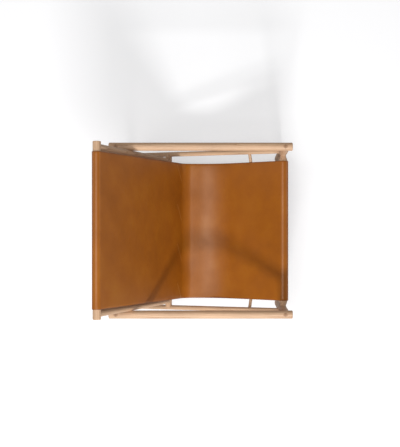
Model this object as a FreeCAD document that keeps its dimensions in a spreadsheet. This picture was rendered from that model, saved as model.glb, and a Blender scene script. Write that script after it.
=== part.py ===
import FreeCAD, Part
import math
import os

import Sketcher
from FreeCAD import Placement, Rotation, Vector

# A round-wood lounge armchair with a leather sling. +X is the chair's front, +Y its left, +Z up.
# The origin is on the floor, under the middle of the chair's outer box.

SIZES = (
    ("frame_width", 608, "left leg centre to right leg centre"),
    ("frame_depth", 613, "rear leg centre to front leg centre"),
    ("arm_height", 520, "floor to the arm's centre line"),
    ("arm_diameter", 29.5, "round arm"),
    ("arm_overhang", 26.5, "arm end beyond the leg centre, front and rear"),
    ("arm_end_round", 3, "rounding of the arm's end edges"),
    ("leg_diameter", 36, "leg from the foot to above the seat joints"),
    ("leg_top_inset", 1.5, "leg's top thinner than the arm, in diameter"),
    ("leg_taper_start", 410, "floor to where the leg begins to taper"),
    ("leg_tenon_diameter", 15, "tenon through the arm"),
    ("foot_round", 2.5, "rounding of the foot's edge"),
    ("wedge_depth", 17, "kerf and wedge below the arm's crown"),
    ("wedge_thick", 2.8, "wedge at its head"),
    ("wedge_thin", 0.8, "wedge at its point"),
    ("glide_diameter", 26, "nylon glide under a leg"),
    ("glide_thickness", 3, "glide below the leg's end"),
    ("glide_bevel", 1, "bevel round the glide's underside"),
    ("glide_pin_diameter", 5, "pin of the glide"),
    ("glide_pin_length", 15, "pin of the glide above its disc"),
    ("seat_rail_diameter", 18, "sloping rail between front and rear leg"),
    ("seat_front_height", 359, "seat rail's centre line at the front leg's centre"),
    ("seat_rear_height", 164, "seat rail's centre line at the rear leg's centre"),
    ("seat_tenon_diameter", 12, "seat rail's tenon in a leg"),
    ("front_rail_diameter", 34, "front rail under the leather"),
    ("front_rail_height", 361, "floor to the front rail's centre line"),
    ("front_rail_neck", 22, "front rail where it meets the leg"),
    ("front_neck_land", 2, "straight neck outside the leg, before the rail swells"),
    ("front_tenon_diameter", 12, "front rail's tenon in the leg"),
    ("front_tenon_length", 22, "front rail's tenon, into the leg"),
    ("tenon_wall", 2, "wood left between two tenons in one leg"),
    ("rear_rail_diameter", 26, "cross rail behind the seat"),
    ("rear_rail_setback", 164.6, "cross rail's centre in front of the rear leg's centre"),
    ("rear_tenon_diameter", 10, "cross rail's tenon in the seat rail"),
    ("rear_tenon_length", 7, "cross rail's tenon, into the seat rail"),
    ("post_notch", 1.6, "back post let into the arm's inner side"),
    ("post_foot_diameter", 20, "back post at the cross rail"),
    ("post_head_diameter", 25, "back post at the top rail"),
    ("post_land", 40, "straight length at each end of the tapered back post"),
    ("post_tenon_diameter", 13, "back post's tenons"),
    ("post_tenon_length", 17, "back post's tenons, into the rails"),
    ("top_rail_diameter", 28, "top rail under the leather"),
    ("top_rail_overhang", 20.5, "top rail's end beyond the back post's centre"),
    ("top_rail_height", 745, "floor to the top rail's centre line"),
    ("top_rail_setback", 32.4, "top rail's centre behind the rear leg's centre"),
    ("rail_end_round", 2.5, "rounding of the top rail's ends"),
    ("bow_diameter", 12, "bent stretcher under the seat"),
    ("bow_tenon_diameter", 8, "its turned-down ends"),
    ("bow_setback", 128.4, "bow's ends behind the front leg's centre"),
    ("bow_drop", 82, "bow's middle below the plane of the seat rails"),
    ("bow_end_gap", 1, "bow's ends short of the seat rails' centre lines"),
    ("glue_gap", 0.1, "radial clearance of a glued tenon"),
    ("bolt_diameter", 6, "bolt between back post and arm"),
    ("bolt_head_diameter", 13, "its head"),
    ("bolt_head_thickness", 3.5, "its head"),
    ("bolt_head_sink", 1, "head below the post's inner side"),
    ("bolt_hex_size", 4, "hexagon socket across its flats"),
    ("bolt_hex_depth", 2.5, "hexagon socket below the head's face"),
    ("bolt_clearance", 0.3, "radial clearance of bolt and head in the post"),
    ("hole_spare", 1, "hole deeper than what it holds, or past the wood it goes through"),
    ("insert_diameter", 10, "threaded brass sleeve in the arm"),
    ("insert_length", 13, "threaded brass sleeve in the arm"),
    ("insert_depth", 0.5, "sleeve below the seat of the post"),
    ("sling_edge_gap", 1.5, "leather's edge to the back post's head"),
    ("leather_thickness", 2.2, "bridle leather"),
    ("wrap_gap", 0.2, "leather clear of the wood it wraps"),
    ("sling_low_height", 238.5, "floor to the leather's upper face at its lowest"),
    ("crease_setout", 93, "centre of the crease's curve in front of the cross rail's centre"),
    ("level_run", 30, "level leather between the crease and the seat curve"),
    ("crease_radius", 45, "leather's upper face at the crease"),
    ("seat_curve_radius", 250, "leather's upper face where the seat starts to rise"),
    ("wrap_angle", 232, "leather round the top rail and round the front rail"),
    ("screw_wrap_angle", 205, "screws along that wrap"),
    ("screw_count", 7, "screws in a row"),
    ("screw_margin", 28, "first screw from the leather's edge"),
    ("screw_head_diameter", 9, "raised head over the leather"),
    ("screw_shoulder_diameter", 7.5, "raised head at half its height"),
    ("screw_crown_diameter", 4.5, "flat middle of the raised head"),
    ("screw_head_height", 1.8, "raised head over the leather"),
    ("screw_shank_diameter", 3.5, "shank in the wood"),
    ("screw_length", 13, "shank below the head"),
)

SIDES = (("left", 1), ("right", -1))
X_AXIS = Vector(1, 0, 0)
Y_AXIS = Vector(0, 1, 0)
TINY_TURN = 1e-3    # degrees, because a turn of zero forgets its axis until it is worked out
SAME_HEIGHT = 1e-6  # mm

doc = FreeCAD.newDocument("SlingArmchair")
sizes = doc.addObject("Spreadsheet::Sheet", "Sizes")
for row, (alias, size, note) in enumerate(SIZES, start=1):
    sizes.set(f"A{row}", alias)
    sizes.set(f"B{row}", str(size))
    sizes.set(f"C{row}", note)
    sizes.setAlias(f"B{row}", alias)
places = doc.addObject("App::VarSet", "Places")
doc.recompute()

finished = []


# ---- Small tools ----

def number(expression):
    """An expression's present value, in mm or degrees."""
    result = sizes.evalExpression(expression)
    return float(getattr(result, "Value", result))


def derive(name, expression, kind="App::PropertyFloat"):
    """A place worked out from the sheet, kept beside it under a name of its own."""
    places.addProperty(kind, name, "Places")
    places.setExpression(name, expression)
    doc.recompute()


def place(piece, x, y, z, axis=Y_AXIS, angle="0 deg"):
    """Puts a piece's own origin at x, y, z, turned about one axis."""
    start = Vector(*(number(text) for text in (x, y, z)))
    piece.Placement = Placement(start, Rotation(axis, number(angle) or TINY_TURN))
    for coordinate, text in zip("xyz", (x, y, z)):
        piece.setExpression(f"Placement.Base.{coordinate}", text)
    piece.setExpression("Placement.Rotation.Angle", angle)
    return piece


def finish(*pieces):
    """Marks pieces as sub-parts of the chair, in their final shape."""
    finished.extend(pieces)


def turned(name, stations):
    """A piece turned about its own Z axis, from (height, radius) stations."""
    body = doc.addObject("PartDesign::Body", name)
    profile = body.newObject("Sketcher::SketchObject", name + "_profile")
    plane = next(item for item in body.Origin.OriginFeatures if item.Role == "XZ_Plane")
    profile.AttachmentSupport = (plane, "")
    profile.MapMode = "FlatFace"
    corners = [("0", stations[0][0])] + [(radius, height) for height, radius in stations]
    corners.append(("0", stations[-1][0]))
    points = [Vector(number(radius), number(height)) for radius, height in corners]
    count = len(points)
    for here in range(count):
        profile.addGeometry(Part.LineSegment(points[here], points[(here + 1) % count]))
    for here in range(count):
        profile.addConstraint(Sketcher.Constraint("Coincident", here, 2, (here + 1) % count, 1))
    for here, (texts, point) in enumerate(zip(corners, points)):
        for kind, text, start, axis_line in (
            ("DistanceX", texts[0], point.x, -2),
            ("DistanceY", texts[1], point.y, -1),
        ):
            if text == "0":
                on_axis = Sketcher.Constraint("PointOnObject", here, 1, axis_line)
                profile.addConstraint(on_axis)
                continue
            index = profile.addConstraint(Sketcher.Constraint(kind, -1, 1, here, 1, start))
            profile.setExpression(f"Constraints[{index}]", text)
    turning = body.newObject("PartDesign::Revolution", name + "_turning")
    turning.Profile = profile
    turning.ReferenceAxis = (profile, ["V_Axis"])
    turning.Angle = 360
    doc.recompute()
    return body


def soften(body, heights, size):
    """Rounds the ring edges that lie at the given heights on a turned piece."""
    levels = [number(text) for text in heights]
    rings = [
        f"Edge{index}"
        for index, edge in enumerate(body.Tip.Shape.Edges, start=1)
        if isinstance(edge.Curve, Part.Circle)
        and any(abs(edge.Curve.Center.z - level) < SAME_HEIGHT for level in levels)
    ]
    rounding = body.newObject("PartDesign::Fillet", body.Name + "_rounding")
    rounding.Base = (body.getObject(body.Name + "_turning"), rings)
    rounding.setExpression("Radius", size)
    doc.recompute()
    return body


def rod(name, radius, length):
    """A plain cylinder from its own origin along its own Z axis."""
    piece = doc.addObject("Part::Cylinder", name)
    piece.setExpression("Radius", radius)
    piece.setExpression("Height", length)
    return piece


def united(name, *pieces):
    piece = doc.addObject("Part::MultiFuse", name)
    piece.Shapes = list(pieces)
    return piece


def cut(name, base, *tools):
    piece = doc.addObject("Part::Cut", name)
    piece.Base = base
    piece.Tool = tools[0] if len(tools) == 1 else united(name + "_tools", *tools)
    return piece


def shared(name, first, second):
    piece = doc.addObject("Part::Common", name)
    piece.Base = first
    piece.Tool = second
    return piece


# ---- Places that follow from the sizes ----

derive("top_roll", "Sizes.top_rail_diameter / 2 + Sizes.wrap_gap + Sizes.leather_thickness")
derive("front_roll", "Sizes.front_rail_diameter / 2 + Sizes.wrap_gap + Sizes.leather_thickness")
derive("outer_depth",
       "Sizes.arm_overhang + Sizes.frame_depth + Sizes.top_rail_setback + Places.top_roll")
derive("front_x", "Places.outer_depth / 2 - Sizes.arm_overhang")
derive("rear_x", "Places.front_x - Sizes.frame_depth")
derive("top_x", "Places.rear_x - Sizes.top_rail_setback")
derive("side_y", "Sizes.frame_width / 2")
derive("arm_crown", "Sizes.arm_height + Sizes.arm_diameter / 2")

derive("seat_rise", "(Sizes.seat_front_height - Sizes.seat_rear_height) / Sizes.frame_depth")
derive("seat_run", "Sizes.frame_depth * sqrt(1 + Places.seat_rise ^ 2)")
derive("seat_lean", "90 deg - atan(Places.seat_rise)", "App::PropertyAngle")
derive("seat_tenon_start", "Sizes.front_tenon_diameter / 2 + Sizes.tenon_wall")

derive("rear_rail_x", "Places.rear_x + Sizes.rear_rail_setback")
derive("rear_rail_z", "Sizes.seat_rear_height + Sizes.rear_rail_setback * Places.seat_rise")

derive("post_back", "Places.rear_rail_x - Places.top_x")
derive("post_up", "Sizes.top_rail_height - Places.rear_rail_z")
derive("post_run", "sqrt(Places.post_back ^ 2 + Places.post_up ^ 2)")
derive("post_lean", "-atan(Places.post_back / Places.post_up)", "App::PropertyAngle")
derive("cross_share", "(Sizes.arm_height - Places.rear_rail_z) / Places.post_up")
derive("cross_x", "Places.rear_rail_x - Places.post_back * Places.cross_share")
derive("taper_share",
       "(Places.cross_share * Places.post_run - Sizes.post_land)"
       " / (Places.post_run - 2 * Sizes.post_land)")
derive("cross_radius",
       "(Sizes.post_foot_diameter * (1 - Places.taper_share)"
       " + Sizes.post_head_diameter * Places.taper_share) / 2")
derive("post_y",
       "Places.side_y - Sizes.arm_diameter / 2 + Sizes.post_notch - Places.cross_radius")
derive("top_rail_length", "2 * (Places.post_y + Sizes.top_rail_overhang)")
derive("sling_width",
       "2 * (Places.post_y - Sizes.post_head_diameter / 2 - Sizes.sling_edge_gap)")

derive("bow_x", "Places.front_x - Sizes.bow_setback")
derive("bow_z", "Sizes.seat_front_height - Sizes.bow_setback * Places.seat_rise")
derive("bow_radius", "(Places.side_y ^ 2 + Sizes.bow_drop ^ 2) / (2 * Sizes.bow_drop)")


# ---- Round stock that several joints share ----

arm_stock = {}
leg_stock = {}
seat_stock = {}
for side, sign in SIDES:
    stock = turned(f"arm_{side}_stock", (
        ("0", "Sizes.arm_diameter / 2"),
        ("Sizes.frame_depth + 2 * Sizes.arm_overhang", "Sizes.arm_diameter / 2"),
    ))
    soften(stock, ("0", "Sizes.frame_depth + 2 * Sizes.arm_overhang"), "Sizes.arm_end_round")
    arm_stock[side] = place(stock, "Places.rear_x - Sizes.arm_overhang",
                            f"{sign} * Places.side_y", "Sizes.arm_height", Y_AXIS, "90 deg")

    for end in ("front", "rear"):
        stock = turned(f"{end}_leg_{side}_stock", (
            ("Sizes.glide_thickness", "Sizes.leg_diameter / 2"),
            ("Sizes.leg_taper_start", "Sizes.leg_diameter / 2"),
            ("Sizes.arm_height", "(Sizes.arm_diameter - Sizes.leg_top_inset) / 2"),
        ))
        soften(stock, ("Sizes.glide_thickness",), "Sizes.foot_round")
        leg_stock[end, side] = place(stock, f"Places.{end}_x", f"{sign} * Places.side_y", "0")

    stock = rod(f"seat_rail_{side}_stock", "Sizes.seat_rail_diameter / 2", "Places.seat_run")
    seat_stock[side] = place(stock, "Places.rear_x", f"{sign} * Places.side_y",
                             "Sizes.seat_rear_height", Y_AXIS, "Places.seat_lean")


# ---- Top rail and cross rail stock ----

top_rail_stock = turned("top_rail_stock", (
    ("0", "Sizes.top_rail_diameter / 2"),
    ("Places.top_rail_length", "Sizes.top_rail_diameter / 2"),
))
soften(top_rail_stock, ("0", "Places.top_rail_length"), "Sizes.rail_end_round")
place(top_rail_stock, "Places.top_x", "-Places.top_rail_length / 2", "Sizes.top_rail_height",
      X_AXIS, "-90 deg")

rear_rail_stock = place(
    rod("rear_rail_stock", "Sizes.rear_rail_diameter / 2", "Sizes.frame_width"),
    "Places.rear_rail_x", "-Places.side_y", "Places.rear_rail_z", X_AXIS, "-90 deg")


# ---- Back posts, tenoned into both rails ----

post_stock = {}
post_bores = {}
post_with_tenons = {}
for side, sign in SIDES:
    here = ("Places.rear_rail_x", f"{sign} * Places.post_y", "Places.rear_rail_z",
            Y_AXIS, "Places.post_lean")
    stock = turned(f"back_post_{side}_stock", (
        ("0", "Sizes.post_foot_diameter / 2"),
        ("Sizes.post_land", "Sizes.post_foot_diameter / 2"),
        ("Places.post_run - Sizes.post_land", "Sizes.post_head_diameter / 2"),
        ("Places.post_run", "Sizes.post_head_diameter / 2"),
    ))
    post_stock[side] = place(stock, *here)
    low = "Sizes.rear_rail_diameter / 2 - Sizes.post_tenon_length"
    high = "Places.post_run - Sizes.top_rail_diameter / 2 + Sizes.post_tenon_length"
    for purpose, gap in (("tenon", "0"), ("bore", "Sizes.glue_gap")):
        core = turned(f"back_post_{side}_{purpose}", (
            (f"{low} - {gap}", f"Sizes.post_tenon_diameter / 2 + {gap}"),
            (f"{high} + {gap}", f"Sizes.post_tenon_diameter / 2 + {gap}"),
        ))
        place(core, *here)
        if purpose == "bore":
            post_bores[side] = core
        else:
            shaft = cut(f"back_post_{side}_shaft", post_stock[side],
                        top_rail_stock, rear_rail_stock)
            post_with_tenons[side] = united(f"back_post_{side}_tenoned", shaft, core)


# ---- Bolts that pull each back post against its arm, and their sleeves ----

bolts = {}
for side, sign in SIDES:
    outward = f"{-90 * sign} deg"
    head_y = "(Places.post_y - Places.cross_radius + Sizes.bolt_head_sink)"
    seat_y = "(Places.post_y + Places.cross_radius)"
    bolt_run = f"({seat_y} - {head_y} + Sizes.insert_length)"
    bolt_blank = turned(f"post_bolt_{side}_blank", (
        ("0", "Sizes.bolt_head_diameter / 2"),
        ("Sizes.bolt_head_thickness", "Sizes.bolt_head_diameter / 2"),
        ("Sizes.bolt_head_thickness", "Sizes.bolt_diameter / 2"),
        (bolt_run, "Sizes.bolt_diameter / 2"),
    ))
    place(bolt_blank, "Places.cross_x", f"{sign} * {head_y}", "Sizes.arm_height",
          X_AXIS, outward)
    socket = doc.addObject("Part::Prism", f"post_bolt_{side}_socket")
    socket.Polygon = 6
    socket.setExpression("Circumradius", "Sizes.bolt_hex_size / 2 / cos(30 deg)")
    socket.setExpression("Height", "Sizes.bolt_hex_depth")
    place(socket, "Places.cross_x", f"{sign} * {head_y}", "Sizes.arm_height", X_AXIS, outward)
    bolts[side] = cut(f"post_bolt_{side}", bolt_blank, socket)

    counterbore = rod(f"counterbore_{side}", "Sizes.bolt_head_diameter / 2 + Sizes.bolt_clearance",
                      "Places.cross_radius + Sizes.bolt_head_thickness")
    place(counterbore, "Places.cross_x",
          f"{sign} * ({head_y} - Places.cross_radius)", "Sizes.arm_height", X_AXIS, outward)
    shank_hole = rod(f"shank_hole_{side}", "Sizes.bolt_diameter / 2 + Sizes.bolt_clearance",
                     f"{bolt_run} + Sizes.hole_spare")
    place(shank_hole, "Places.cross_x", f"{sign} * {head_y}", "Sizes.arm_height",
          X_AXIS, outward)
    sleeve_hole = rod(f"sleeve_hole_{side}", "Sizes.insert_diameter / 2",
                      "Sizes.insert_length + Sizes.insert_depth + Sizes.hole_spare")
    place(sleeve_hole, "Places.cross_x", f"{sign} * {seat_y}", "Sizes.arm_height",
          X_AXIS, outward)
    sleeve_stock = rod(f"arm_insert_{side}_stock", "Sizes.insert_diameter / 2",
                       "Sizes.insert_length")
    place(sleeve_stock, "Places.cross_x", f"{sign} * ({seat_y} + Sizes.insert_depth)",
          "Sizes.arm_height", X_AXIS, outward)
    sleeve = cut(f"arm_insert_{side}", sleeve_stock,
                 place(rod(f"arm_insert_{side}_thread", "Sizes.bolt_diameter / 2",
                           "Sizes.insert_length + 2 * Sizes.hole_spare"),
                       "Places.cross_x", f"{sign} * {seat_y}", "Sizes.arm_height",
                       X_AXIS, outward))
    post = cut(f"back_post_{side}", post_with_tenons[side], counterbore, shank_hole)
    finish(bolts[side], sleeve, post)
    bolts[side, "arm holes"] = (shank_hole, sleeve_hole)


# ---- Legs: coped under the arm, with a wedged tenon through it ----

leg_blanks = {}
under_arm = "Sizes.arm_height - Sizes.arm_diameter / 2 - Sizes.hole_spare"
through_arm = "Sizes.arm_diameter + 2 * Sizes.hole_spare"
for end in ("front", "rear"):
    for side, sign in SIDES:
        spot = (f"Places.{end}_x", f"{sign} * Places.side_y")
        name = f"{end}_leg_{side}"
        tenon = place(rod(f"{name}_tenon", "Sizes.leg_tenon_diameter / 2", through_arm),
                      *spot, under_arm)
        flush_tenon = shared(f"{name}_flush_tenon", tenon, arm_stock[side])
        shaft = cut(f"{name}_coped", leg_stock[end, side], arm_stock[side])
        wedge = doc.addObject("Part::Wedge", f"{name}_kerf")
        for low, high, text in (("Xmin", "Xmax", "Sizes.wedge_thin / 2"),
                                ("X2min", "X2max", "Sizes.wedge_thick / 2"),
                                ("Zmin", "Zmax", "Sizes.leg_tenon_diameter"),
                                ("Z2min", "Z2max", "Sizes.leg_tenon_diameter")):
            wedge.setExpression(high, text)
            wedge.setExpression(low, "-" + text)
        wedge.Ymin = 0
        wedge.setExpression("Ymax", "Sizes.wedge_depth")
        place(wedge, *spot, "Places.arm_crown - Sizes.wedge_depth", X_AXIS, "90 deg")
        finish(shared(f"wedge_{end}_{side}", flush_tenon, wedge))
        leg_blanks[end, side] = united(f"{name}_blank", shaft, flush_tenon)
        leg_blanks[end, side, "kerf"] = wedge


# ---- Front rail: thick under the leather, necked down at the legs ----

front_stock = turned("front_rail_stock", (
    ("0", "Sizes.front_rail_neck / 2"),
    ("Sizes.leg_diameter / 2 + Sizes.front_neck_land", "Sizes.front_rail_neck / 2"),
    ("(Sizes.frame_width - Places.sling_width) / 2", "Sizes.front_rail_diameter / 2"),
    ("(Sizes.frame_width + Places.sling_width) / 2", "Sizes.front_rail_diameter / 2"),
    ("Sizes.frame_width - Sizes.leg_diameter / 2 - Sizes.front_neck_land",
     "Sizes.front_rail_neck / 2"),
    ("Sizes.frame_width", "Sizes.front_rail_neck / 2"),
))
front_here = ("Places.front_x", "-Places.side_y", "Sizes.front_rail_height", X_AXIS, "-90 deg")
place(front_stock, *front_here)
front_shaft = cut("front_rail_shaft", front_stock,
                  leg_stock["front", "left"], leg_stock["front", "right"])
front_cores = {}
for purpose, gap in (("tenon", "0"), ("bore", "Sizes.glue_gap")):
    start = f"Sizes.leg_diameter / 2 - Sizes.front_tenon_length - {gap}"
    front_cores[purpose] = place(turned(f"front_rail_{purpose}", (
        (start, f"Sizes.front_tenon_diameter / 2 + {gap}"),
        (f"Sizes.frame_width - ({start})", f"Sizes.front_tenon_diameter / 2 + {gap}"),
    )), *front_here)


# ---- Bent stretcher under the seat, an arc square to the seat rails ----

def bow_arc(name, radius, shortening):
    """Part of a torus whose chord joins the two seat rails' centre lines."""
    arc = doc.addObject("Part::Torus", name)
    half = f"asin((Places.side_y - {shortening}) / Places.bow_radius)"
    arc.setExpression("Radius1", "Places.bow_radius")
    arc.setExpression("Radius2", radius)
    arc.setExpression("Angle3", f"2 * {half}")
    rise = "(Places.bow_radius - Sizes.bow_drop)"
    slope = "atan(Places.seat_rise)"
    centre = Vector(number(f"Places.bow_x - {rise} * sin({slope})"), 0,
                    number(f"Places.bow_z + {rise} * cos({slope})"))
    along = Rotation(Y_AXIS, number("Places.seat_lean"))
    middle_down = Rotation(Vector(0, 0, 1), -number(half))
    arc.Placement = Placement(centre, along.multiply(middle_down))
    arc.setExpression("Placement.Base.x", f"Places.bow_x - {rise} * sin({slope})")
    arc.setExpression("Placement.Base.z", f"Places.bow_z + {rise} * cos({slope})")
    return arc


bow_body = bow_arc("seat_bow_stock", "Sizes.bow_diameter / 2", "Sizes.bow_end_gap")
bow_core = bow_arc("seat_bow_tenon", "Sizes.bow_tenon_diameter / 2", "Sizes.bow_end_gap")
bow_bore = bow_arc("seat_bow_bore", "Sizes.bow_tenon_diameter / 2 + Sizes.glue_gap",
                   "(Sizes.bow_end_gap - Sizes.glue_gap)")
bow_shaft = cut("seat_bow_shaft", bow_body, seat_stock["left"], seat_stock["right"])
finish(united("seat_bow", bow_shaft, bow_core))


# ---- Cross rail behind the seat ----

rear_shaft = cut("rear_rail_shaft", rear_rail_stock, seat_stock["left"], seat_stock["right"])
rear_cores = {}
for purpose, gap in (("tenon", "0"), ("bore", "Sizes.glue_gap")):
    start = f"Sizes.seat_rail_diameter / 2 - Sizes.rear_tenon_length - {gap}"
    rear_cores[purpose] = place(turned(f"rear_rail_{purpose}", (
        (start, f"Sizes.rear_tenon_diameter / 2 + {gap}"),
        (f"Sizes.frame_width - ({start})", f"Sizes.rear_tenon_diameter / 2 + {gap}"),
    )), "Places.rear_rail_x", "-Places.side_y", "Places.rear_rail_z", X_AXIS, "-90 deg")
rear_blank = united("rear_cross_rail_blank", rear_shaft, rear_cores["tenon"])
finish(cut("rear_cross_rail", rear_blank, post_bores["left"], post_bores["right"]))


# ---- Seat rails, and what they need in the legs ----

seat_bores = {}
for side, sign in SIDES:
    here = ("Places.rear_x", f"{sign} * Places.side_y", "Sizes.seat_rear_height",
            Y_AXIS, "Places.seat_lean")
    for purpose, gap in (("tenon", "0"), ("bore", "Sizes.glue_gap")):
        start = f"Places.seat_tenon_start - {gap}"
        core = place(turned(f"seat_rail_{side}_{purpose}", (
            (start, f"Sizes.seat_tenon_diameter / 2 + {gap}"),
            (f"Places.seat_run - ({start})", f"Sizes.seat_tenon_diameter / 2 + {gap}"),
        )), *here)
        if purpose == "bore":
            seat_bores[side] = core
        else:
            shaft = cut(f"seat_rail_{side}_shaft", seat_stock[side],
                        leg_stock["front", side], leg_stock["rear", side])
            blank = united(f"seat_rail_{side}_blank", shaft, core)
            finish(cut(f"seat_rail_{side}", blank, rear_cores["bore"], bow_bore))


# ---- Glides, then the finished legs and arms ----

for end in ("front", "rear"):
    for side, sign in SIDES:
        spot = (f"Places.{end}_x", f"{sign} * Places.side_y")
        pin_top = "Sizes.glide_thickness + Sizes.glide_pin_length"
        glide = turned(f"glide_{end}_{side}", (
            ("0", "Sizes.glide_diameter / 2 - Sizes.glide_bevel"),
            ("Sizes.glide_bevel", "Sizes.glide_diameter / 2"),
            ("Sizes.glide_thickness", "Sizes.glide_diameter / 2"),
            ("Sizes.glide_thickness", "Sizes.glide_pin_diameter / 2"),
            (pin_top, "Sizes.glide_pin_diameter / 2"),
        ))
        place(glide, *spot, "0")
        pin_hole = place(rod(f"pin_hole_{end}_{side}",
                             "Sizes.glide_pin_diameter / 2 + Sizes.glue_gap",
                             f"{pin_top} + Sizes.hole_spare"),
                         *spot, "0")
        tools = [pin_hole, seat_bores[side], leg_blanks[end, side, "kerf"]]
        if end == "front":
            tools.append(front_cores["bore"])
        finish(glide, cut(f"{end}_leg_{side}", leg_blanks[end, side], *tools))

for side, sign in SIDES:
    tools = [post_stock[side], *bolts[side, "arm holes"]]
    for end in ("front", "rear"):
        bore = rod(f"arm_bore_{end}_{side}", "Sizes.leg_tenon_diameter / 2 + Sizes.glue_gap",
                   through_arm)
        tools.append(place(bore, f"Places.{end}_x", f"{sign} * Places.side_y", under_arm))
    finish(cut(f"arm_{side}", arm_stock[side], *tools))


# ---- Leather sling ----
# One hide, carried over the top rail and the front rail. Seen from the side it is a belt of four
# arcs joined by straight runs: roll over the top rail, crease, seat curve, roll over the front rail.

def at_angle(centre, radius, degrees):
    turn = math.radians(degrees)
    return centre + radius * Vector(math.cos(turn), 0, math.sin(turn))


thickness = number("Sizes.leather_thickness")
low = number("Sizes.sling_low_height")
crease_radius = number("Sizes.crease_radius")
curve_radius = number("Sizes.seat_curve_radius")
wrap = number("Sizes.wrap_angle")
top_roll = number("Places.top_roll")
front_roll = number("Places.front_roll")
top_centre = Vector(number("Places.top_x"), 0, number("Sizes.top_rail_height"))
front_centre = Vector(number("Places.front_x"), 0, number("Sizes.front_rail_height"))
crease_centre = Vector(number("Places.rear_rail_x + Sizes.crease_setout"), 0, low + crease_radius)
curve_centre = Vector(crease_centre.x + number("Sizes.level_run"), 0, low + curve_radius)


def crossing(bend, bend_radius, roll_centre, roll_radius):
    """Bearing of the step from a roll to a bend, and the angle to the belt's face between them."""
    step = bend - roll_centre
    spread = math.degrees(math.acos((bend_radius + roll_radius) / step.Length))
    return math.degrees(math.atan2(step.z, step.x)), spread


step_bearing, spread = crossing(crease_centre, crease_radius, top_centre, top_roll)
back_face = step_bearing + spread
step_bearing, spread = crossing(curve_centre, curve_radius, front_centre, front_roll)
seat_face = step_bearing - spread


def sling_side(depth):
    """One face of the leather, at a depth below its upper face, as (centre, radius, from, to)."""
    return (
        (top_centre, top_roll - depth, back_face + wrap, back_face),
        (crease_centre, crease_radius + depth, back_face + 180, 270),
        (curve_centre, curve_radius + depth, 270, seat_face + 180),
        (front_centre, front_roll - depth, seat_face, seat_face - wrap),
    )


def belt(arcs):
    """The arcs of one face as edges, with the straight runs between them."""
    edges = []
    for centre, radius, start, end in arcs:
        ends = [at_angle(centre, radius, degrees) for degrees in (start, (start + end) / 2, end)]
        if edges:
            edges.append(Part.makeLine(edges[-1].Vertexes[-1].Point, ends[0]))
        edges.append(Part.Arc(*ends).toShape())
    return edges


def sling_solid():
    upper = belt(sling_side(0))
    lower = belt(sling_side(thickness))
    caps = [
        Part.makeLine(at_angle(top_centre, top_roll, back_face + wrap),
                      at_angle(top_centre, top_roll - thickness, back_face + wrap)),
        Part.makeLine(at_angle(front_centre, front_roll, seat_face - wrap),
                      at_angle(front_centre, front_roll - thickness, seat_face - wrap)),
    ]
    outline = Part.Wire(Part.__sortEdges__(upper + caps + lower))
    width = number("Places.sling_width")
    face = Part.Face(outline)
    face.translate(Vector(0, -width / 2, 0))
    return face.extrude(Vector(0, width, 0))


hide = doc.addObject("Part::Feature", "leather_sling_uncut")
hide.Shape = sling_solid()


# ---- Screws that hold the leather's two ends, on the hidden side of the rails ----

def screw_row(name, centre, roll, degrees):
    """Raised-head screws through the leather, pointing at a rail's centre line."""
    seat = at_angle(centre, roll, degrees)
    screws = []
    pitch = "(Places.sling_width - 2 * Sizes.screw_margin) / (Sizes.screw_count - 1)"
    for index in range(round(number("Sizes.screw_count"))):
        screw = turned(f"{name}_{index + 1}", (
            ("-Sizes.screw_head_height", "Sizes.screw_crown_diameter / 2"),
            ("-Sizes.screw_head_height / 2", "Sizes.screw_shoulder_diameter / 2"),
            ("0", "Sizes.screw_head_diameter / 2"),
            ("0", "Sizes.screw_shank_diameter / 2"),
            ("Sizes.screw_length", "Sizes.screw_shank_diameter / 2"),
        ))
        screw.Placement = Placement(seat, Rotation(Y_AXIS, 270 - degrees))
        screw.setExpression(
            "Placement.Base.y",
            f"-Places.sling_width / 2 + Sizes.screw_margin + {index} * {pitch}")
        screws.append(screw)
    group = doc.addObject("Part::Compound", name)
    group.Links = screws
    return group


screw_wrap = number("Sizes.screw_wrap_angle")
top_screws = screw_row("sling_screws_top", top_centre, top_roll, back_face + screw_wrap)
front_screws = screw_row("sling_screws_front", front_centre, front_roll, seat_face - screw_wrap)
finish(top_screws, front_screws, cut("leather_sling", hide, top_screws, front_screws))

finish(cut("top_rail", top_rail_stock, post_bores["left"], post_bores["right"], top_screws))
front_blank = united("front_rail_blank", front_shaft, front_cores["tenon"])
finish(cut("front_rail", front_blank, front_screws))


# ---- Check, then write each sub-part ----

doc.recompute()
for item in doc.Objects:
    for state in item.State:
        if state in ("Invalid", "Error"):
            raise SystemExit(f"{item.Label} is {state}")
SOLIDS = {"sling_screws_top": "Sizes.screw_count", "sling_screws_front": "Sizes.screw_count"}
for piece in finished:
    shape = piece.Shape
    expected = round(number(SOLIDS.get(piece.Label, "1")))
    if shape.isNull() or not shape.isValid() or len(shape.Solids) != expected:
        raise SystemExit(f"{piece.Label} has a bad shape with {len(shape.Solids)} solids")
os.makedirs("parts", exist_ok=True)
for piece in finished:
    piece.Shape.exportStep(f"parts/{piece.Label}.step")
    box = piece.Shape.BoundBox
    print(f"{piece.Label}: {box.XLength:.1f} x {box.YLength:.1f} x {box.ZLength:.1f} mm")
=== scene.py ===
import math

import bmesh
import bpy
from mathutils import Matrix, Vector, noise


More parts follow.
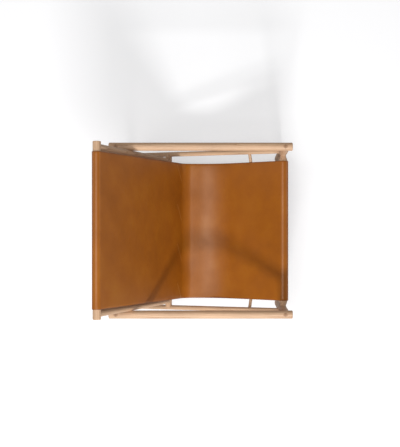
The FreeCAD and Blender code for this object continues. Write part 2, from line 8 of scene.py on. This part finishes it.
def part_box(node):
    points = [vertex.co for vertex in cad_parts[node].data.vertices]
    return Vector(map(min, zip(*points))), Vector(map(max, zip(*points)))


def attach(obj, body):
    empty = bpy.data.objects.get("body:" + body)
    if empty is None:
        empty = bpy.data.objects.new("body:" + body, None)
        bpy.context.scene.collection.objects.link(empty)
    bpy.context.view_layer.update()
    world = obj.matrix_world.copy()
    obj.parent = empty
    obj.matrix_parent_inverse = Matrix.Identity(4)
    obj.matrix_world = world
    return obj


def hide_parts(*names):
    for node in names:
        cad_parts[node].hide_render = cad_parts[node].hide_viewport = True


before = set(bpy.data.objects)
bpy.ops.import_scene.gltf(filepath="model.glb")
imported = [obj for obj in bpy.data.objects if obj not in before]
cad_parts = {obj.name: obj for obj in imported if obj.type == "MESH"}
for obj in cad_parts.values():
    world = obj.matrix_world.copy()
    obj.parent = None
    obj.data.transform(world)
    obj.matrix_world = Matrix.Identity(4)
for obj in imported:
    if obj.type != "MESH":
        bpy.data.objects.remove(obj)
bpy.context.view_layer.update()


# ---------------------------------------------------------------------------
# Oak frame. Turned round sticks of white oak, sanded fine and washed with soap,
# so the wood stays pale and matt. The grain runs along every stick.
# ---------------------------------------------------------------------------

MM = 0.001
OAK_PALE = "#cba988"
OAK_MIDDLE = "#b89171"
OAK_RING = "#996f4a"
OAK_PORE = "#7d5a40"
OAK_END = "#8b6140"
RING_WIDTH = 3.4 * MM
RINGS_PER_SCALE = 0.314  # a wave texture of scale 1 has a ring every 0.314 m
FIBRE_WIDTH = 0.9 * MM
PORE_WIDTH = 0.5 * MM
GRAIN_DRIFT = 10 * MM
DRIFT_WIDTH = 38.5 * MM
PATCH_WIDTH = 45.5 * MM
DRIFT_DRAW = 0.14  # a pattern's width as a share of its length along the stick
PATCH_DRAW = 0.25
FIBRE_DRAW = 0.03
PORE_DRAW = 0.07
GRAIN_TILT = math.radians(1.6)
PITH_ASIDE = (46 * MM, 11 * MM)  # from the stick's middle to the heart of the log
LOG_STEP = 0.37  # metres along the log per radian of turn, so no two sticks look alike
FIRST_TURN = 0.7
NEXT_TURN = 1.9


def colour(text):
    """An sRGB hex value as a linear colour."""
    parts = [int(text[start:start + 2], 16) / 255 for start in (1, 3, 5)]
    linear = [part / 12.92 if part <= 0.04045 else ((part + 0.055) / 1.055) ** 2.4
              for part in parts]
    return (*linear, 1.0)


def add(tree, kind, settings=(), stops=(), **links):
    """Adds a node with its properties, its colour stops and its sockets' values or sources.

    A socket goes by its name, with _ for a space, or by its number, as i0, where names repeat.
    """
    node = tree.nodes.new("ShaderNode" + kind)
    for name, value in dict(settings).items():
        setattr(node, name, value)
    for index, (position, text) in enumerate(stops):
        if index == len(node.color_ramp.elements):
            node.color_ramp.elements.new(position)
        node.color_ramp.elements[index].position = position
        node.color_ramp.elements[index].color = colour(text)
    for name, value in links.items():
        numbered = name[0] == "i" and name[1:].isdigit()
        socket = node.inputs[int(name[1:]) if numbered else name.replace("_", " ")]
        if isinstance(value, bpy.types.NodeSocket):
            tree.links.new(value, socket)
        else:
            socket.default_value = value
    return node


def new_material(name):
    """An empty material and its node tree."""
    material = bpy.data.materials.new(name)
    material.use_nodes = True
    tree = material.node_tree
    tree.nodes.clear()
    return material, tree


def log_coordinates(tree, along, middle, turn):
    """A stick's place in the log it was cut from: Z runs with the fibres, past the pith."""
    upright = along.rotation_difference(Vector((0, 0, 1))).to_matrix()
    turned = Matrix.Rotation(GRAIN_TILT, 3, "X") @ Matrix.Rotation(turn, 3, "Z") @ upright
    shift = Vector((*PITH_ASIDE, LOG_STEP * turn)) - turned @ Vector(middle)
    place = add(tree, "TexCoord").outputs["Object"]
    return add(tree, "Mapping", Vector=place, Location=shift,
               Rotation=turned.to_euler()).outputs[0]


def oak(name, along, middle, turn, shade=1.0):
    """White oak: pale growth rings with dark pores, fine fibres and browner sawn ends."""
    material, tree = new_material(name)
    along = Vector(along).normalized()
    stick = log_coordinates(tree, along, middle, turn)

    slow = add(tree, "Mapping", Vector=stick, Scale=(1, 1, DRIFT_DRAW)).outputs[0]
    drift = add(tree, "TexNoise", Vector=slow, Scale=1 / DRIFT_WIDTH, Detail=2.0)
    bent = add(tree, "VectorMath", {"operation": "MULTIPLY_ADD"}, i0=drift.outputs["Color"],
               i1=(GRAIN_DRIFT, GRAIN_DRIFT, 0), i2=stick)
    rings = add(tree, "TexWave", {"wave_type": "RINGS", "rings_direction": "Z",
                                  "wave_profile": "SAW"},
                Vector=bent.outputs[0], Scale=RINGS_PER_SCALE / RING_WIDTH, Distortion=0.6,
                Detail=1.0, Detail_Scale=2.0)
    drawn = add(tree, "Mapping", Vector=stick, Scale=(1, 1, FIBRE_DRAW)).outputs[0]
    fibre = add(tree, "TexNoise", Vector=drawn, Scale=1 / FIBRE_WIDTH, Detail=3.0)
    drawn = add(tree, "Mapping", Vector=stick, Scale=(1, 1, PORE_DRAW)).outputs[0]
    pores = add(tree, "TexNoise", Vector=drawn, Scale=1 / PORE_WIDTH, Detail=1.0)
    slow = add(tree, "Mapping", Vector=stick, Scale=(1, 1, PATCH_DRAW)).outputs[0]
    patch = add(tree, "TexNoise", Vector=slow, Scale=1 / PATCH_WIDTH, Detail=2.0)

    wood = add(tree, "ValToRGB", Fac=rings.outputs["Fac"], stops=(
        (0.0, OAK_RING), (0.22, OAK_MIDDLE), (0.7, OAK_PALE)))
    streak = add(tree, "ValToRGB", Fac=fibre.outputs["Fac"], stops=(
        (0.36, OAK_MIDDLE), (0.62, OAK_PALE)))
    body = add(tree, "Mix", {"data_type": "RGBA"}, Factor=0.45, i6=wood.outputs[0],
               i7=streak.outputs[0]).outputs[2]
    tone = add(tree, "MapRange", Value=patch.outputs["Fac"], From_Min=0.3, From_Max=0.7,
               To_Min=0.86 * shade, To_Max=1.08 * shade)
    body = add(tree, "VectorMath", {"operation": "SCALE"}, i0=body, Scale=tone.outputs[0])

    # pores lie in the spring growth, so only near each ring's start
    spring = add(tree, "MapRange", Value=rings.outputs["Fac"], From_Min=0.35, From_Max=0.0,
                 To_Max=0.8)
    pore = add(tree, "MapRange", Value=pores.outputs["Fac"], From_Min=0.60, From_Max=0.70)
    pore = add(tree, "Math", {"operation": "MULTIPLY"}, i0=pore.outputs[0], i1=spring.outputs[0])
    body = add(tree, "Mix", {"data_type": "RGBA"}, Factor=pore.outputs[0], i6=body.outputs[0],
               i7=colour(OAK_PORE)).outputs[2]

    # end grain drinks more soap than the sides and turns browner
    facing = add(tree, "VectorMath", {"operation": "DOT_PRODUCT"},
                 i0=add(tree, "NewGeometry").outputs["True Normal"], i1=along)
    facing = add(tree, "Math", {"operation": "ABSOLUTE"}, i0=facing.outputs["Value"])
    end = add(tree, "MapRange", Value=facing.outputs[0], From_Min=0.80, From_Max=0.97,
              To_Max=0.75)
    body = add(tree, "Mix", {"data_type": "RGBA"}, Factor=end.outputs[0], i6=body,
               i7=colour(OAK_END)).outputs[2]

    relief = add(tree, "Math", {"operation": "SUBTRACT"}, i0=fibre.outputs["Fac"],
                 i1=pore.outputs[0])
    bump = add(tree, "Bump", Height=relief.outputs[0], Strength=0.35, Distance=0.15 * MM)
    rough = add(tree, "MapRange", Value=fibre.outputs["Fac"], From_Min=0.3, From_Max=0.7,
                To_Min=0.62, To_Max=0.48)
    shader = add(tree, "BsdfPrincipled", Base_Color=body, Roughness=rough.outputs[0], IOR=1.5,
                 Normal=bump.outputs[0])
    add(tree, "OutputMaterial", Surface=shader.outputs[0])
    return material


def centre(name):
    """The middle of a node's box."""
    low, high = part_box(name)
    return (Vector(low) + Vector(high)) / 2


def dress(name, material):
    """Gives a node of the frame its finish."""
    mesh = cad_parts[name].data
    mesh.materials.clear()
    mesh.materials.append(material)


post_low, post_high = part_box("back_post_left")
POST_GRAIN = (post_low[0] - post_high[0], 0, post_high[2] - post_low[2])
rail_low, rail_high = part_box("seat_rail_left")
SEAT_GRAIN = (rail_high[0] - rail_low[0], 0, rail_high[2] - rail_low[2])

STICKS = (
    ("arm_left", (1, 0, 0)), ("arm_right", (1, 0, 0)),
    ("front_leg_left", (0, 0, 1)), ("front_leg_right", (0, 0, 1)),
    ("rear_leg_left", (0, 0, 1)), ("rear_leg_right", (0, 0, 1)),
    ("seat_rail_left", SEAT_GRAIN), ("seat_rail_right", SEAT_GRAIN),
    ("back_post_left", POST_GRAIN), ("back_post_right", POST_GRAIN),
    ("top_rail", (0, 1, 0)), ("front_rail", (0, 1, 0)),
    ("rear_cross_rail", (0, 1, 0)), ("seat_bow", (0, 1, 0)),
)
for index, (name, along) in enumerate(STICKS):
    turn = FIRST_TURN + NEXT_TURN * index
    dress(name, oak(f"soaped_oak_{name}", along, centre(name), turn))


# ---------------------------------------------------------------------------
# Wedges. Darker smoked oak, driven into the sawn end of each leg's tenon and
# sanded flush with the arm.
# ---------------------------------------------------------------------------

SMOKE_SHADE = 0.48
WEDGE_TURN = 1.3

for index, end in enumerate(("front", "rear")):
    for name in (f"wedge_{end}_left", f"wedge_{end}_right"):
        dress(name, oak(f"smoked_oak_{name}", (0, 0, 1), centre(name), WEDGE_TURN + index,
                        SMOKE_SHADE))


# ---------------------------------------------------------------------------
# Leather sling. One hide of vegetable-tanned bridle leather, wrapped over the
# top rail and the front rail. It hangs flat down the back, folds softly at the
# seat, lies level and rises to the front.
# ---------------------------------------------------------------------------

HIDE_THICKNESS = 2.2 * MM
WRAP_GAP = 0.2 * MM
WRAP_ANGLE = math.radians(232)
CREASE_RADIUS = 45 * MM
CREASE_SETOUT = 93 * MM
LEVEL_RUN = 30 * MM
SEAT_RADIUS = 250 * MM
QUARTER = math.pi / 2
WRAP_STEPS = 36
BACK_STEPS = 56
CREASE_STEPS = 18
LEVEL_STEPS = 4
SEAT_STEPS = 14
RISE_STEPS = 26
CUTS_ACROSS = 55
EASED_EDGE = 0.7 * MM
SEAT_PATCH = 40 * MM

hide_low, hide_high = (Vector(corner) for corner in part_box("leather_sling"))
hide_width = hide_high.y - hide_low.y


def leather_roll(rail):
    """Centre of a rail that the hide wraps, and the radius of the hide's outer face round it."""
    middle = centre(rail)
    low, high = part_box(rail)
    radius = (high[0] - low[0]) / 2 + WRAP_GAP + HIDE_THICKNESS
    return Vector((middle.x, 0, middle.z)), radius


def facing_angles(bend, bend_radius, roll, roll_radius):
    """Angles, seen from a roll, of the two straight runs that cross over to a bend."""
    step = bend - roll
    bearing = math.atan2(step.z, step.x)
    spread = math.acos((bend_radius + roll_radius) / step.length)
    return bearing + spread, bearing - spread


def around(middle, radius, angle):
    """A point of a bend in the side view."""
    return middle + radius * Vector((math.cos(angle), 0, math.sin(angle)))


top_centre, top_roll = leather_roll("top_rail")
front_centre, front_roll = leather_roll("front_rail")
low_face = hide_low.z + HIDE_THICKNESS
crease_x = centre("rear_cross_rail").x + CREASE_SETOUT
crease_centre = Vector((crease_x, 0, low_face + CREASE_RADIUS))
seat_centre = Vector((crease_centre.x + LEVEL_RUN, 0, low_face + SEAT_RADIUS))
back_face = facing_angles(crease_centre, CREASE_RADIUS, top_centre, top_roll)[0]
seat_face = facing_angles(seat_centre, SEAT_RADIUS, front_centre, front_roll)[1]
crease_start = around(crease_centre, CREASE_RADIUS, back_face + math.pi)

hide = bmesh.new()
first = around(top_centre, top_roll, back_face + WRAP_ANGLE)
tip = [hide.verts.new((first.x, hide_low.y, first.z))]


def spin_hide(middle, angle, steps):
    """Carries the open end of the hide's side line round a bend."""
    made = bmesh.ops.spin(hide, geom=tip, cent=(middle.x, hide_low.y, middle.z),
                          axis=(0, 1, 0), angle=angle, steps=steps, use_duplicate=False)
    tip[:] = [item for item in made["geom_last"] if isinstance(item, bmesh.types.BMVert)]


def run_hide(goal, steps):
    """Carries it straight on to a point of the side view."""
    step = (Vector((goal.x, hide_low.y, goal.z)) - tip[0].co) / steps
    for _ in range(steps):
        tip[:] = bmesh.ops.extrude_vert_indiv(hide, verts=tip)["verts"]
        bmesh.ops.translate(hide, verts=tip, vec=step)


spin_hide(top_centre, WRAP_ANGLE, WRAP_STEPS)
run_hide(crease_start, BACK_STEPS)
spin_hide(crease_centre, back_face - QUARTER, CREASE_STEPS)
run_hide(around(seat_centre, SEAT_RADIUS, -QUARTER), LEVEL_STEPS)
spin_hide(seat_centre, QUARTER - seat_face, SEAT_STEPS)
run_hide(around(front_centre, front_roll, seat_face), RISE_STEPS)
spin_hide(front_centre, WRAP_ANGLE, WRAP_STEPS)
hide_length = sum(edge.calc_length() for edge in hide.edges)


def spot(vertex):
    """A vertex's place in the side view, which all vertices across the hide share."""
    return round(vertex.co.x / MM, 2), round(vertex.co.z / MM, 2)


# how far along the hide each vertex of the side line lies
hide.verts.ensure_lookup_table()
here, run_length = hide.verts[0], 0.0
run_at = {spot(here): run_length}
walked = set()
while onward := [edge for edge in here.link_edges if edge not in walked]:
    walked.add(onward[0])
    run_length += onward[0].calc_length()
    here = onward[0].other_vert(here)
    run_at[spot(here)] = run_length

# the side line is pulled across and divided, and laid flat as a map
strip = bmesh.ops.extrude_edge_only(hide, edges=list(hide.edges))["geom"]
bmesh.ops.translate(hide, vec=(0, hide_width, 0),
                    verts=[item for item in strip if isinstance(item, bmesh.types.BMVert)])
across = [edge for edge in hide.edges
          if abs(edge.verts[0].co.y - edge.verts[1].co.y) > hide_width / 2]
bmesh.ops.subdivide_edges(hide, edges=across, cuts=CUTS_ACROSS, use_grid_fill=True)

hide_map = hide.loops.layers.uv.new("hide")
for face in hide.faces:
    for loop in face.loops:
        loop[hide_map].uv = (loop.vert.co.y, run_at[spot(loop.vert)])

hide.normal_update()
seat_faces = [face for face in hide.faces
              if abs(face.calc_center_median().x - seat_centre.x) < SEAT_PATCH]
if sum(face.normal.z for face in seat_faces) < 0:
    bmesh.ops.reverse_faces(hide, faces=hide.faces)
hide.normal_update()

# The hide isn't a machine's sheet: it undulates by a millimetre or so, its free edges
# roll down a little, the fold wanders and the seat hangs a few millimetres slack.
HIDE_WAVE = 1.1 * MM
WAVES_PER_METRE = 9
RIPPLES_PER_METRE = 21
RIPPLE_OFFSET = Vector((3, 7, 1))
EASING_RUN = 60 * MM  # beside the rails the hide lies tight
EDGE_CURL = 0.5 * MM
CURL_WIDTH = 9 * MM
FOLD_WANDER = 3.4 * MM
FOLD_REACH = 34 * MM
WANDERS_PER_METRE = 13
FOLD_SHARE = 0.3
SEAT_SAG = 7 * MM

top_wrap_end = WRAP_ANGLE * top_roll
front_wrap_start = hide_length - WRAP_ANGLE * front_roll
crease_run = top_wrap_end + (crease_start - around(top_centre, top_roll, back_face)).length
crease_length = CREASE_RADIUS * (QUARTER - back_face)
crease_end = crease_run + crease_length


def hide_move(vertex):
    """How far a vertex moves out of the hide's smooth face."""
    run = run_at[spot(vertex)]
    free = min(run - top_wrap_end, front_wrap_start - run) / EASING_RUN
    free = min(max(free, 0), 1)
    free = free * free * (3 - 2 * free)
    place = Vector((vertex.co.y, run, 0))
    wave = noise.noise(place * WAVES_PER_METRE)
    wave += 0.5 * noise.noise(place * RIPPLES_PER_METRE + RIPPLE_OFFSET)
    edge = max(1 - (hide_width / 2 - abs(vertex.co.y)) / CURL_WIDTH, 0)
    near_fold = math.exp(-((run - crease_run - crease_length * FOLD_SHARE) / FOLD_REACH) ** 2)
    wander = noise.noise(Vector((vertex.co.y * WANDERS_PER_METRE, 5, 2))) * near_fold
    seat = (run - crease_end) / (front_wrap_start - crease_end)
    sag = 4 * SEAT_SAG * seat * (1 - seat) if 0 < seat < 1 else 0
    return free * (wave * HIDE_WAVE - edge * edge * EDGE_CURL + wander * FOLD_WANDER) - sag


moves = {vertex: vertex.normal * hide_move(vertex) for vertex in hide.verts}
for vertex, move in moves.items():
    vertex.co += move

sling_mesh = bpy.data.meshes.new("sling")
hide.to_mesh(sling_mesh)
hide.free()
sling = bpy.data.objects.new("sling", sling_mesh)
bpy.context.scene.collection.objects.link(sling)
for polygon in sling_mesh.polygons:
    polygon.use_smooth = True

thick = sling.modifiers.new("hide thickness", "SOLIDIFY")
thick.thickness = HIDE_THICKNESS
thick.offset = -1
thick.material_offset_rim = 1
eased = sling.modifiers.new("eased edges", "BEVEL")
eased.width = EASED_EDGE
eased.segments = 2
eased.limit_method = "ANGLE"
eased.angle_limit = math.radians(50)

HIDE_LIGHT = "#9a5b12"
HIDE_MIDDLE = "#91510b"
HIDE_DARK = "#864908"
HIDE_EDGE = "#5d2f12"
HIDE_SHINE = "#fff0e0"
# the paler colour of the short slanting lines drawn beside the fold
HIDE_PALE_LINE = "#c48a4c"
MOTTLE_SIZE = 91 * MM
CLOUD_SIZE = 312.5 * MM
MOTTLE_SHARE = 0.55
CLOUD_SHARE = 0.45
FINE_SHARE = 0.12
FINE_SIZE = 6.25 * MM
PEBBLE_SIZE = 1.6 * MM
WRINKLE_SIZE = 4.76 * MM
WRINKLE_DRAW = 0.12  # wrinkles are long across the hide
WRINKLE_LEAST = 0.12
WRINKLES_FULL = 10 * MM
WRINKLES_FADED = 70 * MM
EDGE_STAIN = 3.5 * MM
STAIN_ON_FACE = 0.75
STAIN_ON_RIM = 0.85
MARK_PITCH = 154 * MM
MARK_START = 257 * MM
MARK_LEAD = 29 * MM
MARK_SLANT = 0.55
MARK_SHARE = 0.45
MARK_FADE = 0.8
MARK_STRENGTH = 0.8
MARK_WIDTH = 2.4 * MM  # finer on a real hide: this is as fine as shows


def leather(name, edge=False):
    """Waxed vegetable-tanned leather: warm brown, mottled, fine grained, with a soft shine."""
    material, tree = new_material(name)
    flat = add(tree, "UVMap", {"uv_map": "hide"}).outputs[0]
    solid = add(tree, "TexCoord").outputs["Object"]

    # colour: mottled where the wax went in, darker along the burnished edge
    mottle = add(tree, "TexNoise", Vector=flat, Scale=1 / MOTTLE_SIZE, Detail=4.0,
                 Roughness=0.55)
    cloud = add(tree, "TexNoise", Vector=flat, Scale=1 / CLOUD_SIZE, Detail=2.0)
    fine = add(tree, "TexNoise", Vector=solid, Scale=1 / FINE_SIZE, Detail=4.0, Roughness=0.7)
    tone = add(tree, "Math", {"operation": "MULTIPLY"}, i0=mottle.outputs["Fac"],
               i1=MOTTLE_SHARE)
    tone = add(tree, "Math", {"operation": "MULTIPLY_ADD"}, i0=cloud.outputs["Fac"],
               i1=CLOUD_SHARE, i2=tone.outputs[0])
    tone = add(tree, "Math", {"operation": "MULTIPLY_ADD"}, i0=fine.outputs["Fac"],
               i1=FINE_SHARE, i2=tone.outputs[0])
    base = add(tree, "ValToRGB", Fac=tone.outputs[0], stops=(
        (0.38, HIDE_DARK), (0.56, HIDE_MIDDLE), (0.74, HIDE_LIGHT))).outputs[0]
    split = add(tree, "SeparateXYZ", Vector=flat)
    aside = add(tree, "Math", {"operation": "ABSOLUTE"}, i0=split.outputs["X"])
    rim = add(tree, "MapRange", Value=aside.outputs[0], From_Min=hide_width / 2 - EDGE_STAIN,
              From_Max=hide_width / 2, To_Max=STAIN_ON_FACE)
    base = add(tree, "Mix", {"data_type": "RGBA"}, i6=base, i7=colour(HIDE_EDGE),
               Factor=STAIN_ON_RIM if edge else rim.outputs[0]).outputs[2]

    # short slanting lines beside the fold, drawn paler than the face
    step = add(tree, "Math", {"operation": "MULTIPLY_ADD"}, i0=split.outputs["X"],
               i1=-1 / MARK_PITCH, i2=MARK_START / MARK_PITCH)
    step = add(tree, "Math", {"operation": "FRACT"}, i0=step.outputs[0])
    line = add(tree, "Math", {"operation": "MULTIPLY_ADD"}, i0=step.outputs[0],
               i1=MARK_PITCH * MARK_SLANT, i2=crease_run - MARK_LEAD)
    away = add(tree, "Math", {"operation": "SUBTRACT"}, i0=split.outputs["Y"],
               i1=line.outputs[0])
    away = add(tree, "Math", {"operation": "ABSOLUTE"}, i0=away.outputs[0])
    mark = add(tree, "MapRange", Value=away.outputs[0], From_Min=MARK_WIDTH / 2,
               From_Max=MARK_WIDTH / 6, To_Max=MARK_STRENGTH)
    short = add(tree, "MapRange", Value=step.outputs[0], From_Min=MARK_SHARE,
                From_Max=MARK_SHARE * MARK_FADE)
    mark = add(tree, "Math", {"operation": "MULTIPLY"}, i0=mark.outputs[0],
               i1=short.outputs[0])
    base = add(tree, "Mix", {"data_type": "RGBA"}, Factor=mark.outputs[0], i6=base,
               i7=colour(HIDE_PALE_LINE)).outputs[2]

    # relief: pebbled grain, and wrinkles that run across the hide near the fold
    squeezed = add(tree, "Mapping", Vector=flat, Scale=(WRINKLE_DRAW, 1, 1)).outputs[0]
    wrinkles = add(tree, "TexNoise", Vector=squeezed, Scale=1 / WRINKLE_SIZE, Detail=3.0)
    fold_zone = add(tree, "Math", {"operation": "SUBTRACT"}, i0=split.outputs["Y"],
                    i1=crease_run + crease_length / 2)
    fold_zone = add(tree, "Math", {"operation": "ABSOLUTE"}, i0=fold_zone.outputs[0])
    fold_zone = add(tree, "MapRange", Value=fold_zone.outputs[0], From_Min=WRINKLES_FULL,
                    From_Max=WRINKLES_FADED, To_Min=1.0, To_Max=WRINKLE_LEAST)
    wrinkles = add(tree, "Math", {"operation": "MULTIPLY"}, i0=wrinkles.outputs["Fac"],
                   i1=fold_zone.outputs[0])
    pebbles = add(tree, "TexVoronoi", Vector=solid, Scale=1 / PEBBLE_SIZE)
    pebbles = add(tree, "Math", {"operation": "MULTIPLY_ADD"}, i0=pebbles.outputs["Distance"],
                  i1=0.5, i2=fine.outputs["Fac"])
    small = add(tree, "Bump", Height=pebbles.outputs[0], Strength=0.30, Distance=0.25 * MM)
    bump = add(tree, "Bump", Height=wrinkles.outputs[0], Strength=0.35, Distance=0.5 * MM,
               Normal=small.outputs[0])

    rough = add(tree, "MapRange", Value=mottle.outputs["Fac"], From_Min=0.3, From_Max=0.7,
                To_Min=0.47, To_Max=0.39)
    shader = add(tree, "BsdfPrincipled", Base_Color=base, Roughness=rough.outputs[0], IOR=1.5,
                 Specular_Tint=colour(HIDE_SHINE), Normal=bump.outputs[0])
    add(tree, "OutputMaterial", Surface=shader.outputs[0])
    return material


sling_mesh.materials.append(leather("bridle_leather"))
sling_mesh.materials.append(leather("burnished_edge", edge=True))
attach(sling, "root")
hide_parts("leather_sling")


# ---------------------------------------------------------------------------
# Fastenings. Brass screws along the hide's two ends and brass sleeves in the arms,
# which are warm yellow. The bolts through the back posts are zinc-plated steel, cool
# and grey, with a hexagon socket.
# ---------------------------------------------------------------------------

BRASS = "#c9a25c"
BRASS_ROUGHNESS = 0.34
BRASS_SCRATCH = 0.6 * MM
ZINC = "#b9bbbd"
ZINC_ROUGHNESS = 0.36
ZINC_SCRATCH = 0.5 * MM


def metal(name, tint, roughness, scratch):
    """Turned and tumbled metal: one colour, with fine scratches that blur its shine."""
    material, tree = new_material(name)
    place = add(tree, "TexCoord").outputs["Object"]
    lines = add(tree, "TexNoise", Vector=place, Scale=1 / scratch, Detail=3.0)
    rough = add(tree, "MapRange", Value=lines.outputs["Fac"], From_Min=0.3, From_Max=0.7,
                To_Min=roughness - 0.08, To_Max=roughness + 0.1)
    bump = add(tree, "Bump", Height=lines.outputs["Fac"], Strength=0.08, Distance=0.05 * MM)
    shader = add(tree, "BsdfPrincipled", Base_Color=colour(tint), Metallic=1.0,
                 Roughness=rough.outputs[0], Normal=bump.outputs[0])
    add(tree, "OutputMaterial", Surface=shader.outputs[0])
    return material


brass = metal("tumbled_brass", BRASS, BRASS_ROUGHNESS, BRASS_SCRATCH)
zinc = metal("zinc_plated_steel", ZINC, ZINC_ROUGHNESS, ZINC_SCRATCH)
for name in ("sling_screws_top", "sling_screws_front", "arm_insert_left", "arm_insert_right"):
    dress(name, brass)
for name in ("post_bolt_left", "post_bolt_right"):
    dress(name, zinc)


# ---------------------------------------------------------------------------
# Glides. Black nylon discs, moulded in one with a pin that is pressed into the
# end of each leg.
# ---------------------------------------------------------------------------

NYLON_DARK = "#1d1c1b"
NYLON_LIGHT = "#2a2827"
MOULD_GRIT = 0.7 * MM


def nylon(name):
    """Moulded nylon: near black, with a fine matt texture from the mould."""
    material, tree = new_material(name)
    place = add(tree, "TexCoord").outputs["Object"]
    grit = add(tree, "TexNoise", Vector=place, Scale=1 / MOULD_GRIT, Detail=2.0)
    tone = add(tree, "ValToRGB", Fac=grit.outputs["Fac"], stops=(
        (0.35, NYLON_DARK), (0.65, NYLON_LIGHT)))
    bump = add(tree, "Bump", Height=grit.outputs["Fac"], Strength=0.25, Distance=0.1 * MM)
    shader = add(tree, "BsdfPrincipled", Base_Color=tone.outputs[0], Roughness=0.6, IOR=1.53,
                 Normal=bump.outputs[0])
    add(tree, "OutputMaterial", Surface=shader.outputs[0])
    return material


black_nylon = nylon("moulded_nylon")
for end in ("front", "rear"):
    for side in ("left", "right"):
        dress(f"glide_{end}_{side}", black_nylon)


# ---------------------------------------------------------------------------
# Studio. A white paper floor in a pale room, a small bright window and a wider
# lamp high on the chair's right, a soft ceiling, a faint lamp at front and rear,
# and a camera straight above.
# ---------------------------------------------------------------------------

PAPER_TONE = "#c4c4c5"
PAPER_GLOW = 0.45
PAPER_GLOW_COLOUR = "#fefeff"
PAPER_REACH = 12
LAMP_AIM = Vector((0, 0, 0.3))
LAMPS = (
    ("window", (0.25, -2.75, 3.1), (0.9, 0.5), 105),
    ("side", (0.35, -5.2, 2.9), (1.7, 1.5), 80),
    ("ceiling", (-0.8, 0.1, 4.5), (2.2, 1.6), 84),
    ("front_fill", (4.5, 1.2, 1.3), (2.0, 1.4), 30),
    ("rear_fill", (-4.5, 1.2, 1.3), (2.0, 1.4), 30),
)
ROOM_LIGHT = 0.2
ROOM_WALL = 0.92
CAMERA_PLACE = (0.1533, -0.009, 3.600)
FOCAL_LENGTH = 68.46
SENSOR_WIDTH = 36
SHIFT_BACK = -0.0895
SHIFT_ASIDE = 0.0215

floor_mesh = bpy.data.meshes.new("paper floor")
paper = bmesh.new()
bmesh.ops.create_grid(paper, x_segments=1, y_segments=1, size=PAPER_REACH)
paper.to_mesh(floor_mesh)
paper.free()
floor = bpy.data.objects.new("paper_floor", floor_mesh)
bpy.context.scene.collection.objects.link(floor)

# Matt white paper, which has no shine and shows soft grey shadows. Its glow and the walls'
# full brightness are for the camera alone and don't light the chair.
white, tree = new_material("white_paper")
glow = add(tree, "MapRange", Value=add(tree, "LightPath").outputs["Is Camera Ray"],
           To_Max=PAPER_GLOW)
paper_shader = add(tree, "BsdfPrincipled", Base_Color=colour(PAPER_TONE), Roughness=0.9,
                   Emission_Color=colour(PAPER_GLOW_COLOUR), Emission_Strength=glow.outputs[0])
add(tree, "OutputMaterial", Surface=paper_shader.outputs[0])
floor_mesh.materials.append(white)

for name, place, size, watts in LAMPS:
    light = bpy.data.lights.new(name, "AREA")
    light.shape = "RECTANGLE"
    light.size, light.size_y = size
    light.energy = watts
    lamp = bpy.data.objects.new(name, light)
    lamp.location = place
    lamp.rotation_euler = (LAMP_AIM - lamp.location).to_track_quat("-Z", "Y").to_euler()
    bpy.context.scene.collection.objects.link(lamp)

world = bpy.data.worlds.new("white room")
world.use_nodes = True
room = world.node_tree
room.nodes.clear()
seen_wall = add(room, "MapRange", Value=add(room, "LightPath").outputs["Is Camera Ray"],
                To_Min=ROOM_LIGHT, To_Max=ROOM_WALL)
wall = add(room, "Background", Color=colour("#ffffff"), Strength=seen_wall.outputs[0])
add(room, "OutputWorld", Surface=wall.outputs[0])
bpy.context.scene.world = world
bpy.context.scene.view_settings.view_transform = "Standard"

camera_data = bpy.data.cameras.new("camera")
camera_data.lens = FOCAL_LENGTH
camera_data.sensor_width = SENSOR_WIDTH
camera_data.shift_x = SHIFT_BACK
camera_data.shift_y = SHIFT_ASIDE
camera = bpy.data.objects.new("camera", camera_data)
camera.location = CAMERA_PLACE
bpy.context.scene.collection.objects.link(camera)
bpy.context.scene.camera = camera
